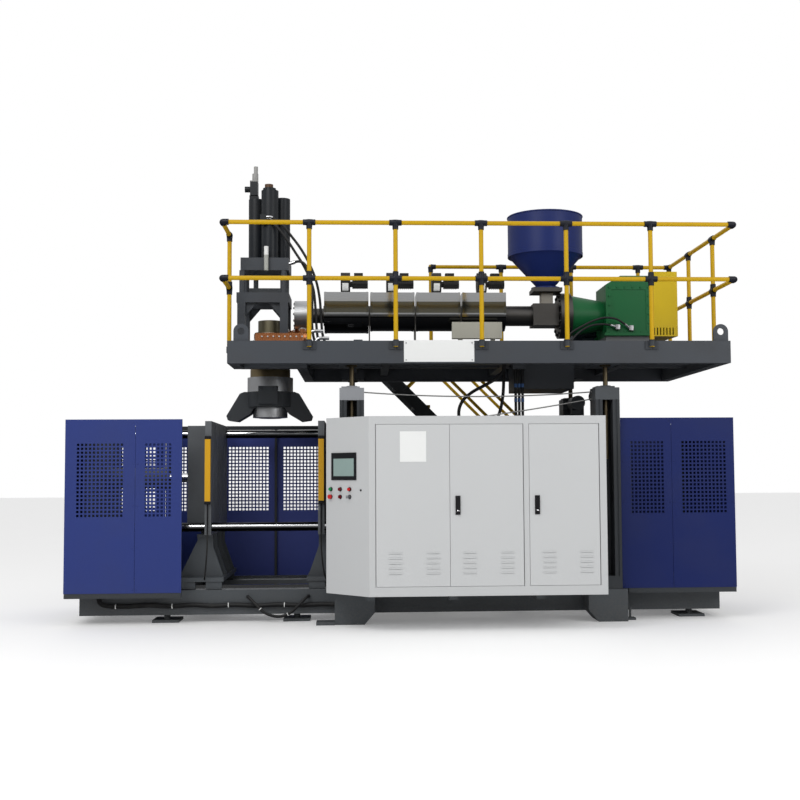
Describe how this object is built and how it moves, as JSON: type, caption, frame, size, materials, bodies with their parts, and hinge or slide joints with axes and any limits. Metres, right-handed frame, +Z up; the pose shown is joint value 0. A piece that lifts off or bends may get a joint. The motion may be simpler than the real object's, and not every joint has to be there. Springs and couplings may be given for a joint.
{
  "type": "blow moulding machine",
  "caption": "Large extrusion blow moulding machine: clamp with sliding platens, control cabinet, guards, and a lift deck with extruder, hopper, railing and accumulator head.",
  "frame": {"origin": "on the floor under the centre of the machine's bounding box", "axes": "+Z up, +X along the machine towards the drive end, the operator's side faces -Y"},
  "size_m": [6.284, 3.4639, 4.525],
  "materials": {
    "slate_paint": "semi-matt dark slate paint",
    "dark_paint": "matt near-black paint",
    "deck_paint": "semi-matt slate grey paint",
    "blue_paint_left": "semi-gloss blue paint",
    "blue_paint_right": "semi-gloss deep blue paint",
    "cabinet_paint": "light grey textured powder coat",
    "screen_plastic": "black bezel",
    "rubber_hose": "matt black hose",
    "bright_steel": "ground and polished",
    "pipe_steel": "bare drawn pipe",
    "platen_steel": "painted machined plate",
    "curtain_yellow": "yellow enamel",
    "rail_yellow": "gloss yellow paint",
    "fitting_black": "dark navy cast fittings",
    "handle_black": "black moulded lever",
    "button_green": "green cap",
    "button_dark_red": "dark red cap",
    "button_red": "red cap",
    "switch_metal": "satin metal",
    "white_plate": "blank white plate",
    "lift_screw_steel": "greased screw steel",
    "stair_paint": "dark grey stair with yellow hand rails",
    "barrel_steel": "oil-dark steel",
    "polished_cover": "polished stainless sheet",
    "blower_black": "black enamel",
    "box_beige": "beige grey enamel",
    "hopper_blue": "semi-gloss navy blue",
    "gearbox_green": "green machine enamel",
    "motor_grey": "blue grey enamel",
    "guard_yellow": "bright yellow enamel",
    "cylinder_dark": "dark cylinder paint",
    "die_steel": "machined steel",
    "pulley_iron": "bare cast iron",
    "screw_steel": "nitrided steel"
  },
  "bodies": {
    "base": {"base_frame": "slate_paint", "feet": "slate_paint", "lift_columns": "dark_paint", "jack_units": "slate_paint", "lube_pipes": "pipe_steel", "clamp_guides": "bright_steel", "clamp_ends": "slate_paint", "guard_left": "blue_paint_left", "guard_right": "blue_paint_right", "guard_trim": "dark_paint", "rear_frame": "dark_paint", "cabinet_shell": "cabinet_paint", "screen_unit": "screen_plastic", "base_conduits": "rubber_hose", "riser_hoses": "rubber_hose"},
    "left_platen": {"platen_left": "platen_steel", "carriage_left": "slate_paint", "piston_rod_left": "bright_steel", "curtain_left": "curtain_yellow"},
    "right_platen": {"platen_right": "platen_steel", "carriage_right": "slate_paint", "piston_rod_right": "bright_steel", "curtain_right": "curtain_yellow"},
    "rear_door_l": {"rear_door_left": "blue_paint_left"},
    "rear_door_r": {"rear_door_right": "blue_paint_left"},
    "door_1": {"cabinet_door_1": "cabinet_paint"},
    "door_2": {"cabinet_door_2": "cabinet_paint"},
    "door_3": {"cabinet_door_3": "cabinet_paint"},
    "lever_2": {"handle_2": "handle_black"},
    "lever_3": {"handle_3": "handle_black"},
    "start": {"start_button": "button_green"},
    "stop": {"stop_button": "button_dark_red"},
    "reset": {"reset_button": "button_red"},
    "estop": {"emergency_stop": "button_red"},
    "selector": {"mode_selector": "button_dark_red"},
    "key": {"key_switch": "switch_metal"},
    "deck": {"deck_frame": "deck_paint", "name_plate": "white_plate", "lift_screws": "lift_screw_steel", "guard_rail": "rail_yellow", "rail_fittings": "fitting_black", "stair": "stair_paint", "extruder_barrel": "barrel_steel", "heater_covers": "polished_cover", "blowers": "blower_black", "junction_box": "box_beige", "hopper": "hopper_blue", "gearbox": "gearbox_green", "drive_motor": "motor_grey", "belt_guard": "guard_yellow", "head_frame": "deck_paint", "push_cylinders": "cylinder_dark", "die_head": "die_steel", "die_bracket": "dark_paint", "head_pipes": "rubber_hose"},
    "screw": {"extruder_screw": "screw_steel"},
    "big_pulley": {"gearbox_pulley": "pulley_iron"},
    "small_pulley": {"motor_pulley": "pulley_iron"},
    "ram": {"crosshead": "slate_paint"},
    "core": {"die_core": "die_steel"}
  },
  "joints": [
    {"name": "deck_lift", "type": "slide", "parent": "base", "child": "deck", "axis": [0, 0, 1], "range_m": [0, 0.25], "deforming": ["riser_hoses"]},
    {"name": "clamp_left", "type": "slide", "parent": "base", "child": "left_platen", "axis": [1, 0, 0], "range_m": [0, 0.25]},
    {"name": "clamp_right", "type": "slide", "parent": "base", "child": "right_platen", "axis": [1, 0, 0], "range_m": [-0.25, 0]},
    {"name": "rear_door_left_hinge", "type": "hinge", "parent": "base", "child": "rear_door_l", "pos_m": [-1.916, 0.722, 1], "axis": [0, 0, 1], "range_deg": [0, 90]},
    {"name": "rear_door_right_hinge", "type": "hinge", "parent": "base", "child": "rear_door_r", "pos_m": [-0.726, 0.722, 1], "axis": [0, 0, -1], "range_deg": [0, 90]},
    {"name": "cabinet_door_1_hinge", "type": "hinge", "parent": "base", "child": "door_1", "pos_m": [-0.274, -1.699, 1.1], "axis": [0, 0, -1], "range_deg": [0, 100]},
    {"name": "cabinet_door_2_hinge", "type": "hinge", "parent": "base", "child": "door_2", "pos_m": [0.997, -1.699, 1.1], "axis": [0, 0, 1], "range_deg": [0, 100]},
    {"name": "cabinet_door_3_hinge", "type": "hinge", "parent": "base", "child": "door_3", "pos_m": [1.668, -1.699, 1.1], "axis": [0, 0, 1], "range_deg": [0, 100]},
    {"name": "handle_2_turn", "type": "hinge", "parent": "door_2", "child": "lever_2", "pos_m": [0.431, -1.71, 1.162], "axis": [0, 1, 0], "range_deg": [-90, 0]},
    {"name": "handle_3_turn", "type": "hinge", "parent": "door_3", "child": "lever_3", "pos_m": [1.128, -1.71, 1.162], "axis": [0, 1, 0], "range_deg": [-90, 0]},
    {"name": "start_press", "type": "slide", "parent": "base", "child": "start", "axis": [0.7071, 0.7071, 0], "range_m": [0, 0.004], "stiffness_N_per_m": 400, "springref_m": -0.004},
    {"name": "stop_press", "type": "slide", "parent": "base", "child": "stop", "axis": [0.7071, 0.7071, 0], "range_m": [0, 0.004], "stiffness_N_per_m": 400, "springref_m": -0.004},
    {"name": "reset_press", "type": "slide", "parent": "base", "child": "reset", "axis": [0.7071, 0.7071, 0], "range_m": [0, 0.004], "stiffness_N_per_m": 400, "springref_m": -0.004},
    {"name": "estop_press", "type": "slide", "parent": "base", "child": "estop", "axis": [0.7071, 0.7071, 0], "range_m": [0, 0.005], "stiffness_N_per_m": 400, "springref_m": -0.004},
    {"name": "selector_turn", "type": "hinge", "parent": "base", "child": "selector", "pos_m": [-0.59389, -1.45911, 1.185], "axis": [-0.7071, -0.7071, 0], "range_deg": [-45, 45]},
    {"name": "key_turn", "type": "hinge", "parent": "base", "child": "key", "pos_m": [-0.51045, -1.54255, 1.185], "axis": [-0.7071, -0.7071, 0], "range_deg": [-90, 0]},
    {"name": "screw_turn", "type": "hinge", "parent": "deck", "child": "screw", "pos_m": [0, -0.13, 2.99], "axis": [1, 0, 0], "continuous": true},
    {"name": "gearbox_pulley_turn", "type": "hinge", "parent": "deck", "child": "big_pulley", "pos_m": [2.6, -0.13, 3.11], "axis": [1, 0, 0], "continuous": true},
    {"name": "motor_pulley_turn", "type": "hinge", "parent": "deck", "child": "small_pulley", "pos_m": [2.6, 0.37, 2.93], "axis": [1, 0, 0], "continuous": true},
    {"name": "ram_stroke", "type": "slide", "parent": "deck", "child": "ram", "axis": [0, 0, 1], "range_m": [0, 0.1]},
    {"name": "die_gap", "type": "slide", "parent": "deck", "child": "core", "axis": [0, 0, 1], "range_m": [0, 0.03]}
  ],
  "couplings": [
    {"joint": "clamp_right", "follows": "clamp_left", "ratio": -1},
    {"joint": "gearbox_pulley_turn", "follows": "motor_pulley_turn", "ratio": 0.54545},
    {"joint": "screw_turn", "follows": "motor_pulley_turn", "ratio": 0.045455}
  ]
}
